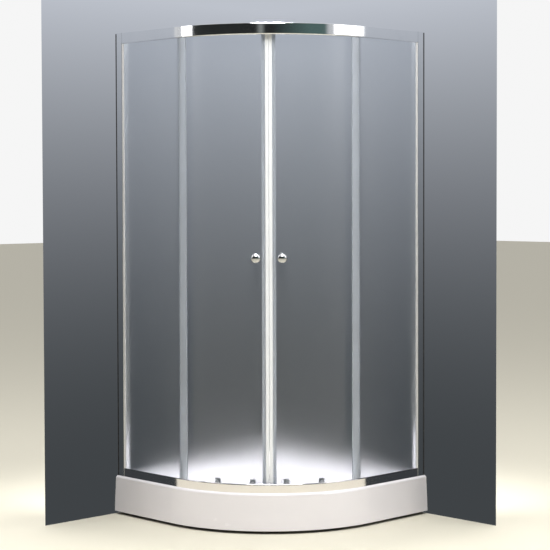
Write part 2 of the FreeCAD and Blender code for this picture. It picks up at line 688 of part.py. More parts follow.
def left_channel():
    """U channel that is screwed to the wall; the post slides over it."""
    inset0 = RAIL_INSET + POST_WALL + CHANNEL_FIT
    inset1 = POST_BACK - POST_WALL - CHANNEL_FIT
    body = left_front(0, CHANNEL_REACH, inset0, inset1, RIM, POST_TOP)
    inside = left_front(POST_WALL, CHANNEL_REACH, inset0 + POST_WALL, inset1 - POST_WALL, RIM, POST_TOP)
    body = body.cut(inside)
    middle = (RIM + POST_TOP) / 2
    for spacing in CHANNEL_HOLE_SPACINGS:
        for z in (middle - spacing / 2, middle + spacing / 2):
            start = Vector(-HALF, (inset0 + inset1) / 2 - HALF, z)
            body = body.cut(Part.makeCylinder(CHANNEL_HOLE_RADIUS, POST_WALL, start, Vector(1, 0, 0)))
    return screw_holes(body)


def left_cap():
    cap = left_front(POST_GAP, POST_END, RAIL_INSET, POST_BACK, POST_TOP, ENCLOSURE_TOP)
    return cap.makeFillet(POST_EDGE, upright_edges(cap))


def left_wall_seal():
    """Dark strip between the post and the wall."""
    inset = RAIL_INSET + POST_WALL + CHANNEL_FIT - GASKET_FIT
    return left_front(0, POST_GAP - GASKET_FIT, inset - WALL_SEAL, inset, RIM, POST_TOP)


def left_connectors():
    """Plastic block in the end of each rail, between its divider and its back wall."""
    blocks = []
    for low in CONNECTOR_LOWS:
        blocks.append(left_front(RAIL_START, RAIL_START + CONNECTOR_LENGTH, DIVIDER_IN + CONNECTOR_FIT,
                                 RIB_OUT - CONNECTOR_FIT, low, low + CONNECTOR_HEIGHT))
    return [screw_holes(block) for block in blocks]


def left_fixed_glass():
    return left_front(GLASS_START, STRAIGHT + FIXED_OVERRUN, FIXED_OUT, FIXED_IN,
                      RIM + FIXED_BOTTOM_GAP, RAIL_TOP - FIXED_TOP_GAP)


def left_gaskets():
    """Upright gaskets on both faces at the post, and a strip in each rail."""
    outer0 = RAIL_INSET + POST_WALL + GASKET_FIT
    outer1 = FIXED_OUT - GASKET_FIT
    upright = left_front(GLASS_START, POST_END + GASKET_SHOW, outer0, outer1, STRIP_LOW, STRIP_TOP)
    inner = left_front(GLASS_START, POST_END, FIXED_IN + GASKET_FIT, GROOVE_BACK - GASKET_FIT,
                       STRIP_LOW, STRIP_TOP)
    rail0 = RAIL_INSET + RAIL_WALL + GASKET_FIT
    start = RAIL_START + GASKET_FIT
    foot = left_front(start, STRAIGHT, rail0, outer1, RIM + FIXED_BOTTOM_GAP,
                      BOTTOM_RAIL_TOP - RAIL_LIP_HEIGHT - GASKET_FIT)
    head = left_front(start, STRAIGHT, rail0, outer1, RAIL_LOW + RAIL_LIP_HEIGHT + GASKET_FIT,
                      RAIL_TOP - FIXED_TOP_GAP)
    return [upright, inner, foot, head]


def strip_nose(depth, start, end):
    """Part of the edge strip beyond the glass, its ends measured from the arc's start."""
    start_angle = SEAM_ANGLE - ARC_HALF + seam_degrees(start, STRIP_INSET)
    end_angle = SEAM_ANGLE - ARC_HALF + seam_degrees(end, STRIP_INSET)
    return shell_sector(STRIP_INSET, STRIP_INSET + depth, STRIP_LOW, STRIP_TOP, start_angle, end_angle)


def left_edge_strip():
    """Translucent strip over the fixed glass's free edge: a fin towards the door, a nose past the glass."""
    edge = STRAIGHT + FIXED_OVERRUN
    out1 = FIXED_OUT - GASKET_FIT
    out0 = out1 - STRIP_LEAF
    in0 = FIXED_IN + GASKET_FIT
    in1 = in0 + STRIP_LEAF
    web = edge + GASKET_FIT
    tip = FIXED_OVERRUN + STRIP_REACH
    pieces = [
        left_front(edge - STRIP_LAP, web, out0, out1, STRIP_LOW, STRIP_TOP),
        left_front(edge - STRIP_LAP, web, in0, in1, STRIP_LOW, STRIP_TOP),
        left_front(web, web + STRIP_LEAF, out0, in1 + STRIP_FIN, STRIP_LOW, STRIP_TOP),
        strip_nose(STRIP_LEAF, FIXED_OVERRUN + STRIP_LEAF / 2, tip - STRIP_NOSE / 2),
        strip_nose(STRIP_NOSE_DEPTH, tip - STRIP_NOSE, tip),
    ]
    return fused(pieces)


def left_stop():
    """Rubber stop hung in the top rail, where the trailing bracket ends its travel."""
    open_angle = math.degrees(TRAIL_ROLLER / (TRAY_RADIUS - DOOR_OUT)) + DOOR_TRAVEL
    past = math.radians(open_angle + seam_degrees(BRACKET_WIDTH / 2, DOOR_IN) - ARC_HALF)
    x = STRAIGHT - (TRAY_RADIUS - DOOR_IN + BRACKET_STEM) * math.tan(past) - STOP_GAP
    middle = DOOR_IN - BRACKET_STEM / 2
    return left_front(x - STOP_LENGTH, x, middle - STOP_WIDTH / 2, middle + STOP_WIDTH / 2 - RAIL_WALL,
                      TOP_AXLE - TREAD_RADIUS, RAIL_TOP - RAIL_WALL)


# ---------------------------------------------------------------- doors
LEAD_ANGLE = seam_degrees(LEAD_ROLLER, DOOR_OUT)
TRAIL_ANGLE = seam_degrees(TRAIL_ROLLER, DOOR_OUT)
KNOB_ANGLE = seam_degrees(KNOB_FROM_SEAM, DOOR_OUT)
GLASS_LEAD = SEAM_ANGLE - seam_degrees(SEAM_HALF, DOOR_OUT)
GLASS_TRAIL = (SEAM_ANGLE - ARC_HALF + math.degrees(math.asin(FIXED_OVERRUN / (TRAY_RADIUS - DOOR_OUT)))
               - seam_degrees(DOOR_OVERLAP, DOOR_OUT))


def door_wall(out_inset, in_inset, start, end):
    return shell_sector(out_inset, in_inset, DOOR_LOW, DOOR_TOP, start, end)


def left_door_glass():
    glass = door_wall(DOOR_OUT, DOOR_IN, GLASS_TRAIL, GLASS_LEAD)
    holes = [(KNOB_ANGLE, KNOB_HOLE_RADIUS, KNOB_Z), (LEAD_ANGLE, BUTTON_HOLE, BUTTON_Z),
             (TRAIL_ANGLE, BUTTON_HOLE, BUTTON_Z)]
    for angle, radius, z in holes:
        hole = radial_rod(radius, DOOR_OUT - GLASS, DOOR_IN + GLASS, z)
        glass = glass.cut(on_left_arc(hole, angle))
    return glass


def left_meeting_seal():
    """U seal pushed over the leading edge of the door glass."""
    lap = GLASS_LEAD - seam_degrees(SEAL_LAP, DOOR_OUT)
    fit = seam_degrees(GASKET_FIT, DOOR_OUT)
    nose = GLASS_LEAD + fit + seam_degrees(SEAL_BASE, DOOR_OUT)
    out1 = DOOR_OUT - GASKET_FIT
    in0 = DOOR_IN + GASKET_FIT
    return fused([
        door_wall(out1 - SEAL_LEAF, out1, lap, nose),
        door_wall(in0, in0 + SEAL_LEAF, lap, nose),
        door_wall(out1, in0, GLASS_LEAD + fit, nose),
    ])


def left_magnet_strip():
    """White magnet strip on the seal's nose."""
    start = GLASS_LEAD + seam_degrees(2 * GASKET_FIT + SEAL_BASE, DOOR_OUT)
    end = SEAM_ANGLE - seam_degrees(MAGNET_GAP, DOOR_OUT)
    middle = (DOOR_OUT + DOOR_IN) / 2
    strip = door_wall(middle - MAGNET_DEPTH / 2, middle + MAGNET_DEPTH / 2, start, end)
    return strip.makeFillet(MAGNET_EDGE, upright_edges(strip))


def left_trailing_seal():
    """U seal on the trailing edge, with a fin towards the fixed glass."""
    lap = GLASS_TRAIL + seam_degrees(TRAIL_LAP, DOOR_OUT)
    fit = seam_degrees(GASKET_FIT, DOOR_OUT)
    nose = GLASS_TRAIL - fit - seam_degrees(SEAL_BASE, DOOR_OUT)
    out1 = DOOR_OUT - GASKET_FIT
    in0 = DOOR_IN + GASKET_FIT
    return fused([
        door_wall(out1 - SEAL_LEAF, out1, nose, lap),
        door_wall(in0, in0 + SEAL_LEAF, nose, lap),
        door_wall(out1, in0, nose, GLASS_TRAIL - fit),
        door_wall(out1 - SEAL_LEAF - TRAIL_FIN, out1 - SEAL_LEAF, nose, GLASS_TRAIL - fit),
    ])


def knob(radius, start, outwards):
    """Domed knob on a stepped foot, its axis along +X, starting at a radius from the arc's centre."""
    axis = Vector(1 if outwards else -1, 0, 0)
    at = Vector(start, 0, KNOB_Z)
    foot = Part.makeCylinder(KNOB_BASE_RADIUS, KNOB_BASE, at, axis)
    neck = Part.makeCylinder(KNOB_NECK_RADIUS, KNOB_BASE + KNOB_NECK, at, axis)
    back = at + axis * (KNOB_BASE + KNOB_NECK)
    head = Part.makeCylinder(radius, KNOB_HEAD, back, axis)
    head = head.common(Part.makeSphere(KNOB_DOME, back + axis * (KNOB_HEAD - KNOB_DOME)))
    rims = [e for e in head.Edges if len(e.Vertexes) == 1]
    head = head.makeFillet(KNOB_ROUND, rims)
    return fused([foot, neck, head])


def left_outer_knob():
    start = TRAY_RADIUS - DOOR_OUT + GLASS_FIT
    shape = knob(KNOB_RADIUS, start, True)
    hole = Part.makeCylinder(
        STUD_RADIUS + THREAD_CLEARANCE, STUD_ENTRY + GLASS_FIT, Vector(start, 0, KNOB_Z), Vector(1, 0, 0))
    return on_left_arc(shape.cut(hole), KNOB_ANGLE)


def left_inner_knob():
    """Inner knob with the stud that runs through the glass into the outer knob."""
    start = TRAY_RADIUS - DOOR_IN - GLASS_FIT
    tip = TRAY_RADIUS - DOOR_OUT + GLASS_FIT + STUD_ENTRY
    stud = Part.makeCylinder(STUD_RADIUS, tip - start, Vector(start, 0, KNOB_Z), Vector(1, 0, 0))
    return on_left_arc(knob(INNER_KNOB_RADIUS, start, False).fuse(stud).removeSplitter(), KNOB_ANGLE)


# ---------------------------------------------------------------- rollers, drawn with the radius along +X
STEM_IN = DOOR_IN - GLASS_FIT
STEM_OUT = STEM_IN - BRACKET_STEM


def wheel(z):
    """Grooved wheel on a radial axis."""
    rim = radial_rod(FLANGE_TIP, WHEEL_OUT, WHEEL_IN, z)
    groove0 = WHEEL_OUT + FLANGE_WIDTH
    groove1 = WHEEL_IN - FLANGE_WIDTH
    groove = radial_rod(FLANGE_TIP + OVERCUT, groove0, groove1, z)
    groove = groove.cut(radial_rod(TREAD_RADIUS, groove0, groove1, z))
    bore = radial_rod(AXLE_RADIUS + RUNNING_FIT, WHEEL_OUT, WHEEL_IN, z)
    return rim.cut(groove).cut(bore)


def axle(head_end, shoulder_start, z):
    """Riveted axle: plain end, shoulder before the wheel, and the wheel's retaining head."""
    tail0 = WHEEL_IN + ROLL_CLEARANCE
    return fused([
        radial_rod(AXLE_RADIUS, head_end, tail0, z),
        radial_rod(AXLE_SHOULDER, shoulder_start, WHEEL_OUT - ROLL_CLEARANCE, z),
        radial_rod(AXLE_HEAD_RADIUS, tail0, tail0 + AXLE_TAIL, z),
    ])


def top_bracket():
    """Clamp on the glass's top edge with a stem up to the axle."""
    jaw_out = DOOR_OUT - GLASS_FIT
    jaw_in = DOOR_IN + JAW_FIT
    jaw_back = jaw_in + BRACKET_INNER_JAW
    shape = fused([
        radial_block(jaw_out - BRACKET_JAW, jaw_out, BRACKET_WIDTH, DOOR_TOP - BRACKET_LAP, BRACKET_TOP),
        radial_block(jaw_out - BRACKET_JAW, jaw_back, BRACKET_WIDTH, DOOR_TOP + GLASS_FIT, BRACKET_TOP),
        radial_block(jaw_in, jaw_back, BRACKET_WIDTH, DOOR_TOP - BRACKET_LAP, BRACKET_TOP),
        radial_block(STEM_OUT, STEM_IN, BRACKET_WIDTH, BRACKET_TOP, TOP_AXLE + BRACKET_HEAD),
    ])
    shape = shape.cut(radial_rod(AXLE_RADIUS + THREAD_CLEARANCE, STEM_OUT, STEM_IN, TOP_AXLE))
    z = DOOR_TOP - CLAMP_SCREW_DROP
    return shape.cut(radial_rod(CLAMP_SCREW_RADIUS + THREAD_CLEARANCE, jaw_in, jaw_back, z))


def clamp_screw():
    """Set screw that grips the glass through the bracket's inner jaw."""
    z = DOOR_TOP - CLAMP_SCREW_DROP
    tip = DOOR_IN + GASKET_FIT
    jaw = DOOR_IN + JAW_FIT + BRACKET_INNER_JAW
    return fused([radial_rod(CLAMP_SCREW_RADIUS, tip, jaw, z),
                  radial_rod(CLAMP_SCREW_HEAD_RADIUS, jaw, jaw + CLAMP_SCREW_HEAD, z)])


def bottom_plate():
    """Plate on the glass's inner face that carries the bottom axle and the button's pin."""
    out = DOOR_IN + GLASS_FIT
    shape = radial_block(out, out + PLATE, PLATE_WIDTH, BOTTOM_AXLE - PLATE_FOOT, BUTTON_Z + PLATE_MARGIN)
    shape = shape.cut(radial_rod(AXLE_RADIUS + THREAD_CLEARANCE, out, out + PLATE, BOTTOM_AXLE))
    return shape.cut(radial_rod(BUTTON_PIN + BUTTON_FIT, out, out + PLATE, BUTTON_Z))


def button():
    """Cup-shaped cap on a pin through the glass, with a latch head inside."""
    face = DOOR_OUT - BUTTON_FIT - BUTTON_TRAVEL
    top = face - BUTTON_HEIGHT
    latch = DOOR_IN + GLASS_FIT + PLATE + LATCH_GAP
    cap = radial_rod(BUTTON_RADIUS, top, face, BUTTON_Z)
    cap = cap.makeFillet(BUTTON_ROUND, outer_rims(cap))
    cap = cap.cut(radial_rod(BUTTON_RADIUS - BUTTON_WALL, top + BUTTON_WALL, face, BUTTON_Z))
    return fused([
        cap,
        radial_rod(BUTTON_PIN, top + BUTTON_WALL / 2, latch + LATCH, BUTTON_Z),
        radial_rod(LATCH_RADIUS, latch, latch + LATCH, BUTTON_Z),
    ])


def outer_rims(shape):
    """The circular edges furthest from the arc's centre."""
    reach = max(e.CenterOfMass.x for e in shape.Edges)
    return [e for e in shape.Edges if abs(e.CenterOfMass.x - reach) < TINY]


def bend(start, corner, end):
    """Arc that leaves start towards the corner and comes to end from it."""
    middle = (start + end) / 2
    half = (end - start).Length / 2
    rise = half * math.tan(math.acos(half / (corner - start).Length) / 2)
    return Part.Arc(start, middle + (corner - middle).normalize() * rise, end).toShape()


def coil_path(radius, pitch, turns):
    """Coil about Z as two arcs to each quarter turn, with its first direction."""
    def place(angle):
        return Vector(radius * math.cos(angle), radius * math.sin(angle), pitch * angle / math.tau)

    def heading(angle):
        rise = pitch / math.tau
        return Vector(-radius * math.sin(angle), radius * math.cos(angle), rise).normalize()

    quarter = math.pi / 2
    arcs = []
    for step in range(4 * turns):
        start, end = place(step * quarter), place((step + 1) * quarter)
        out, back = heading(step * quarter), heading((step + 1) * quarter)
        span = end - start
        slope = span.dot(out + back)
        square = 2 * (1 - out.dot(back))
        leg = (math.sqrt(slope ** 2 + square * span.dot(span)) - slope) / square
        first, last = start + out * leg, end - back * leg
        joint = (first + last) / 2
        arcs += [bend(start, first, joint), bend(joint, last, end)]
    return Part.Wire(arcs), heading(0)


def button_spring():
    """Compressed coil between the glass and the cap."""
    length = BUTTON_HEIGHT - BUTTON_WALL - SPRING_WIRE - 2 * BUTTON_FIT
    path, heading = coil_path(SPRING_RADIUS, length / SPRING_TURNS, SPRING_TURNS)
    section = Part.Wire(Part.makeCircle(SPRING_WIRE / 2, Vector(SPRING_RADIUS, 0, 0), heading))
    coil = path.makePipeShell([section], True, False)
    coil.rotate(Vector(0, 0, 0), Vector(0, 1, 0), 90)
    start = TRAY_RADIUS - DOOR_OUT + BUTTON_FIT + SPRING_WIRE / 2
    coil.translate(Vector(start, 0, BUTTON_Z))
    return coil


def left_rollers():
    """Every roller piece of the left door, by node name without its side."""
    places = {"lead": LEAD_ANGLE, "trail": TRAIL_ANGLE}
    top_axle = axle(STEM_OUT - AXLE_TAIL, STEM_IN, TOP_AXLE)
    top_axle = top_axle.fuse(radial_rod(AXLE_HEAD_RADIUS, STEM_OUT - AXLE_TAIL, STEM_OUT, TOP_AXLE))
    plate_out = DOOR_IN + GLASS_FIT
    bottom_axle = axle(plate_out, plate_out + PLATE, BOTTOM_AXLE)
    angles = list(places.values())
    pieces = {
        "top_brackets": group([on_left_arc(top_bracket(), a) for a in angles]),
        "clamp_screws": group([on_left_arc(clamp_screw(), a) for a in angles]),
        "bottom_plates": group([on_left_arc(bottom_plate(), a) for a in angles]),
        "roller_axles": group([on_left_arc(s, a) for s in (top_axle.removeSplitter(), bottom_axle)
                               for a in angles]),
        "button_springs": group([on_left_arc(button_spring(), a) for a in angles]),
    }
    for name, angle in places.items():
        pieces["top_wheel_" + name] = on_left_arc(wheel(TOP_AXLE), angle)
        pieces["bottom_wheel_" + name] = on_left_arc(wheel(BOTTOM_AXLE), angle)
        pieces["release_button_" + name] = on_left_arc(button(), angle)
    return pieces


# ---------------------------------------------------------------- the pieces
def tray_and_waste():
    return {
        "tray_shell": tray_shell(),
        "tray_base_board": base_board(),
        "tray_support_frame": support_frame(),
        "foot_stems": group([foot_stem(at) for at in FEET]),
        "foot_nuts": group([foot_nut(at) for at in FEET]),
        "foot_pads": group([foot_pad(at) for at in FEET]),
        "waste_flange": waste_flange(),
        "waste_seals": waste_seals(),
        "waste_body": waste_body(),
        "waste_cover": waste_cover(),
    }


def both(left):
    """A group of left-hand solids and their right-hand twins."""
    return group(left + [mirrored(shape) for shape in left])


def frame_groups():
    screws = [frame_screw(place, Vector(0, -1, 0), POST_SCREW_LENGTH) for place in post_screw_places()]
    screws += [frame_screw(place, Vector(1, 0, 0), RAIL_SCREW_LENGTH) for place in rail_screw_places()]
    return {
        "top_rail": top_rail(),
        "bottom_rail": bottom_rail(),
        "post_caps": both([left_cap()]),
        "frame_screws": both(screws),
        "wall_seals": both([left_wall_seal()]),
        "rail_connectors": both(left_connectors()),
        "glass_gaskets": both(left_gaskets()),
        "door_stops": both([left_stop()]),
    }


def sided_pieces():
    pieces = {
        "wall_channel": left_channel(),
        "post": left_post(),
        "fixed_glass": left_fixed_glass(),
        "edge_strip": left_edge_strip(),
        "door_glass": left_door_glass(),
        "meeting_seal": left_meeting_seal(),
        "magnet_strip": left_magnet_strip(),
        "trailing_seal": left_trailing_seal(),
        "outer_knob": left_outer_knob(),
        "inner_knob": left_inner_knob(),
    }
    pieces.update(left_rollers())
    return pieces


for node, shape in {**tray_and_waste(), **frame_groups()}.items():
    save(shape, node)

for node, shape in sided_pieces().items():
    save(shape, node + "_left")
    save(mirrored(shape), node + "_right")
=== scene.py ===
import math

import bpy
from mathutils import Euler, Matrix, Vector

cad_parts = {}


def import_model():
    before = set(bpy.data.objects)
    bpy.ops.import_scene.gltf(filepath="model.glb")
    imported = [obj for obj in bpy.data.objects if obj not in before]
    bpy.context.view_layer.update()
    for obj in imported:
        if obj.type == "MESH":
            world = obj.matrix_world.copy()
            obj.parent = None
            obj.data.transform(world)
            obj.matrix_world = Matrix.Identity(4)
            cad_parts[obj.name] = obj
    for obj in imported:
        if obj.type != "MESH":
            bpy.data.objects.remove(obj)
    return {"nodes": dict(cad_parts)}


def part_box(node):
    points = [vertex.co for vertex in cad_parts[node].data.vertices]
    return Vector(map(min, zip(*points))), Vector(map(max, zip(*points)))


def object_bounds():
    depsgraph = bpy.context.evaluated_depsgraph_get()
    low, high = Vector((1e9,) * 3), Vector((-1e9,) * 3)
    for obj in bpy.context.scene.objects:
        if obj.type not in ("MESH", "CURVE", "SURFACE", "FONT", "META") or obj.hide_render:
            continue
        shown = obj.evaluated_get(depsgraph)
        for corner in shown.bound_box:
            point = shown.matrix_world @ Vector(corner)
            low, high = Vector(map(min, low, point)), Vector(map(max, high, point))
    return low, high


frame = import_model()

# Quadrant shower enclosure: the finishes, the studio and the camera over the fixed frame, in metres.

CAD_BOX = [list(corner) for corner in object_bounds()]
FLOOR = CAD_BOX[0][2]
LEFT_WALL = CAD_BOX[0][0]
RIGHT_WALL = CAD_BOX[1][1]
TRAY_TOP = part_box("tray_shell")[1].z

# Camera, as the photograph was taken: level with the handles, looking at the middle of the doors.
AZIMUTH = math.radians(45.8)
DISTANCE = 6.56
CAMERA_HEIGHT = TRAY_TOP + 1.151
PITCH = math.radians(-2.0)
ROLL = -0.0029
LENS = 106.1
SENSOR = 36.0
SHIFT = (0.0086, -0.047)

# Studio.
WALL_GAP = 0.002
WALL_REACH = 1.25
WALL_HEIGHT = 2.6
# The walls glow with painted light: an emitted gradient from painted shade at the foot to painted light at the
# top, not lit by the lamps.
WALL_FADE_TOP = 2.1
WALL_FADE_CURVE = 2.5
WALL_FOOT_PAINTED_SHADE = (0.050, 0.056, 0.061, 1)
WALL_HEAD_PAINTED_LIGHT = (0.51, 0.540, 0.60, 1)
BACK_EDGE_RUN = (0.004, 0.006)  # light that comes from this near passes the wall, so the tray's back is lit
FLOOR_COLOUR = (0.655, 0.618, 0.51, 1)
FLOOR_REACH = 30.0

# Lamps: bearing and height in degrees, distance, width and height in metres, power in watts, spread in degrees.
LAMPS = (
    ("right_soft", 116, 34, 4.7, (2.5, 3.6), 46, 180),
    ("left_soft", -29, 34, 4.7, (0.9, 3.6), 22, 180),
    ("above_soft", 52, 60, 4.6, (3.2, 3.2), 232, 180),
    ("open_top", 0, 90, 1.8, (0.6, 0.6), 19, 60),
)

# Surroundings that the bright metal mirrors: bearings in degrees, and heights as the sine of the angle up.
DARK_FROM = (-28.0, -24.0)
DARK_TO = (94.0, 98.0)
DARK_UP_TO = (0.35, 0.75)
GREEN_BEARINGS = (48.0, 80.0)
STRIP_BEARING = 37.7
STRIP_FADE = 0.25
DARK = (0.02, 0.022, 0.022, 1)
DARK_GREEN = (0.075, 0.125, 0.120, 1)
STRIP_LIGHT = (0.26, 0.28, 0.27, 1)
PALE_BEHIND = (0.92, 0.92, 0.92, 1)
PALE_SIDES = (0.50, 0.51, 0.53, 1)


# ---------------------------------------------------------------- shader maths

def feed(tree, slot, item):
    """Puts a number, a colour or another node's output into a socket."""
    if isinstance(item, Signal):
        tree.links.new(item.socket, slot)
    else:
        slot.default_value = item


class Signal:
    """An output of a node, so that shader maths is written as it is read."""

    def __init__(self, tree, socket):
        self.tree = tree
        self.socket = socket

    def math(self, operation, *items, clamp=False):
        node = self.tree.nodes.new("ShaderNodeMath")
        node.operation = operation
        node.use_clamp = clamp
        for slot, item in zip(node.inputs, items):
            feed(self.tree, slot, item)
        return Signal(self.tree, node.outputs[0])

    def __add__(self, other):
        return self.math("ADD", self, other)

    def __sub__(self, other):
        return self.math("SUBTRACT", self, other)

    def __rsub__(self, other):
        return self.math("SUBTRACT", other, self)

    def __mul__(self, other):
        return self.math("MULTIPLY", self, other)

    def __pow__(self, other):
        return self.math("POWER", self, other)

    __radd__ = __add__
    __rmul__ = __mul__

    def held(self):
        """The same value, kept between 0 and 1."""
        return self.math("ADD", self, 0.0, clamp=True)

    def between(self, low, high):
        """0 under low, 1 over high and straight from one to the other."""
        return ((self - low) * (1 / (high - low))).held()


class Nodes:
    """A node tree that makes its nodes in one line each."""

    def __init__(self, owner):
        owner.use_nodes = True
        self.tree = owner.node_tree
        self.tree.nodes.clear()

    def node(self, kind, settings, inputs, output=0):
        """A new node: its settings first, then its sockets; gives back one output."""
        node = self.tree.nodes.new(kind)
        for name, value in settings.items():
            setattr(node, name, value)
        for name, item in inputs.items():
            feed(self.tree, node.inputs[name], item)
        return Signal(self.tree, node.outputs[output])

    def split(self, vector):
        """The three parts of a vector."""
        node = self.tree.nodes.new("ShaderNodeSeparateXYZ")
        feed(self.tree, node.inputs[0], vector)
        return [Signal(self.tree, socket) for socket in node.outputs]

    def blend(self, factor, first, second):
        """Colour that goes from first to second as factor goes from 0 to 1."""
        node = self.tree.nodes.new("ShaderNodeMix")
        node.data_type = "RGBA"
        feed(self.tree, node.inputs["Factor"], factor)
        feed(self.tree, node.inputs[6], first)
        feed(self.tree, node.inputs[7], second)
        return Signal(self.tree, node.outputs[2])


class Finish(Nodes):
    """A material of one Principled shader, with its patterns on Object coordinates."""

    def __init__(self, name, **numbers):
        self.material = bpy.data.materials.new(name)
        super().__init__(self.material)
        self.shader = self.tree.nodes.new("ShaderNodeBsdfPrincipled")
        output = self.tree.nodes.new("ShaderNodeOutputMaterial")
        self.tree.links.new(self.shader.outputs[0], output.inputs[0])
        self.place = self.node("ShaderNodeTexCoord", {}, {}, "Object")
        for socket, number in numbers.items():
            self.set(socket.replace("_", " "), number)

    def set(self, socket, item):
        feed(self.tree, self.shader.inputs[socket], item)

    def stretched(self, scale):
        """Object coordinates, stretched along each axis."""
        return self.node("ShaderNodeMapping", {}, {"Vector": self.place, "Scale": scale})

    def noise(self, scale, detail=2.0, stretch=None, roughness=0.5):
        """Soft cloudy pattern, near 0 to 1, with so many clouds to a metre."""
        where = self.stretched(stretch) if stretch else self.place
        inputs = {"Vector": where, "Scale": scale, "Detail": detail, "Roughness": roughness}
        return self.node("ShaderNodeTexNoise", {}, inputs, "Fac").between(0.25, 0.75)

    def cells(self, scale):
        """One tone for each cell of a pattern, with so many cells to a metre."""
        inputs = {"Vector": self.place, "Scale": scale}
        return self.split(self.node("ShaderNodeTexVoronoi", {}, inputs, "Color"))[0]

    def bump(self, height, depth):
        """Relief of so many metres where height goes from 0 to 1."""
        inputs = {"Height": height, "Distance": depth, "Strength": 1.0}
        self.set("Normal", self.node("ShaderNodeBump", {}, inputs))


def grey(level, warmth=0.0):
    """Grey as a colour, warmer above 0 and bluer below."""
    return (level * (1 + warmth), level, level * (1 - warmth), 1.0)


# ---------------------------------------------------------------- finishes

def acrylic():
    """Glossy white tray surface: faint clouds under the gloss and a soft film where water dries."""
    finish = Finish("white_acrylic", Coat_Roughness=0.05, IOR=1.49)
    clouds = finish.noise(3.0, 3.0)
    film = finish.noise(14.0, 4.0, roughness=0.6)
    height = finish.split(finish.place)[2]
    # Where the film lies from 12 to 50 mm above the floor, at the foot of the skirt, the colour is a little
    # darker.
    low = 1 - height.between(FLOOR + 0.012, FLOOR + 0.05)
    finish.set("Base Color", finish.blend(clouds * 0.6 + low * film * 0.4,
                                          (0.90, 0.865, 0.89, 1), (0.86, 0.825, 0.84, 1)))
    finish.set("Roughness", 0.16 + film * 0.12)
    finish.set("Coat Weight", 0.55 - film * 0.2)
    finish.bump(finish.noise(55.0, 1.0), 0.00006)
    return finish.material


def polished_aluminium():
    """Bright rolled profile: fine draw lines along its length, finger marks and dulled patches."""
    finish = Finish("polished_aluminium", Metallic=1.0)
    upright = finish.noise(1.0, 2.0, stretch=(900, 900, 1.5))
    marks = finish.noise(9.0, 5.0, roughness=0.65)
    finish.set("Base Color", finish.blend(marks, (0.955, 0.96, 0.965, 1), (0.90, 0.91, 0.92, 1)))
    finish.set("Roughness", 0.05 + upright * 0.03 + marks * 0.05)
    finish.bump(upright, 0.000004)
    return finish.material


def rolled_rail(name, bright, dull):
    """The same bright profile, bent: its draw lines run level round the curve."""
    finish = Finish(name, Metallic=1.0)
    level = finish.noise(1.0, 2.0, stretch=(1.5, 1.5, 900))
    marks = finish.noise(9.0, 5.0, roughness=0.65)
    finish.set("Base Color", finish.blend(marks, bright, dull))
    finish.set("Roughness", 0.05 + level * 0.03 + marks * 0.05)
    finish.bump(level, 0.000001)
    return finish.material


def mill_aluminium():
    """Dull extruded wall channel: coarser draw lines and a grey bloom."""
    finish = Finish("mill_aluminium", Metallic=0.95)
    lines = finish.noise(1.0, 3.0, stretch=(1400, 1400, 2))
    bloom = finish.noise(22.0, 4.0)
    finish.set("Base Color", finish.blend(bloom, (0.50, 0.51, 0.53, 1), (0.38, 0.39, 0.41, 1)))
    finish.set("Roughness", 0.30 + lines * 0.12 + bloom * 0.1)
    finish.bump(lines, 0.00001)
    return finish.material


def chrome():
    """Mirror-bright plating with faint finger marks and tiny scuffs."""
    finish = Finish("chrome", Metallic=1.0)
    marks = finish.noise(120.0, 4.0, roughness=0.6)
    scuffs = finish.noise(900.0, 2.0).between(0.7, 0.95)
    finish.set("Base Color", finish.blend(marks, (0.60, 0.605, 0.61, 1), (0.53, 0.535, 0.54, 1)))
    finish.set("Roughness", 0.03 + marks * 0.05 + scuffs * 0.1)
    finish.bump(scuffs, 0.000003)
    return finish.material


def stainless():
    """Satin stainless steel of screws, axles and plates, with fine grinding."""
    finish = Finish("stainless_steel", Metallic=1.0)
    grain = finish.noise(1.0, 2.0, stretch=(2500, 2500, 180))
    stains = finish.noise(60.0, 4.0)
    finish.set("Base Color", finish.blend(stains, (0.63, 0.62, 0.60, 1), (0.52, 0.51, 0.50, 1)))
    finish.set("Roughness", 0.22 + grain * 0.15 + stains * 0.08)
    finish.bump(grain, 0.000006)
    return finish.material


def galvanised():
    """Zinc-coated steel tube: flat spangles of many greys and white bloom."""
    finish = Finish("galvanised_steel")
    tone = finish.cells(140.0)
    bloom = finish.noise(35.0, 5.0, roughness=0.65).between(0.45, 0.95)
    metal = finish.blend(tone, (0.42, 0.44, 0.46, 1), (0.62, 0.64, 0.66, 1))
    finish.set("Base Color", finish.blend(bloom * 0.5, metal, (0.66, 0.67, 0.66, 1)))
    finish.set("Metallic", 0.95 - bloom * 0.6)
    finish.set("Roughness", 0.30 + tone * 0.15 + bloom * 0.25)
    finish.bump(tone, 0.00003)
    return finish.material


def board():
    """Water-resistant chipboard: flakes of several browns pressed flat."""
    finish = Finish("board", IOR=1.4)
    flakes = finish.cells(170.0)
    fine = finish.noise(420.0, 3.0)
    wood = finish.blend(flakes, (0.42, 0.30, 0.17, 1), (0.62, 0.48, 0.30, 1))
    finish.set("Base Color", finish.blend(fine * 0.45, wood, (0.33, 0.27, 0.16, 1)))
    finish.set("Roughness", 0.72 + fine * 0.15)
    finish.bump(flakes * 0.7 + fine * 0.3, 0.00025)
    return finish.material


def moulded(name, pale, dark, roughness):
    """Moulded plastic: fine leathery skin, slight flow clouds and rubbed shine."""
    finish = Finish(name, IOR=1.46)
    clouds = finish.noise(28.0, 3.0)
    skin = finish.noise(1600.0, 2.0)
    finish.set("Base Color", finish.blend(clouds, pale, dark))
    finish.set("Roughness", roughness + skin * 0.12 - clouds * 0.06)
    finish.bump(skin, 0.00002)
    return finish.material


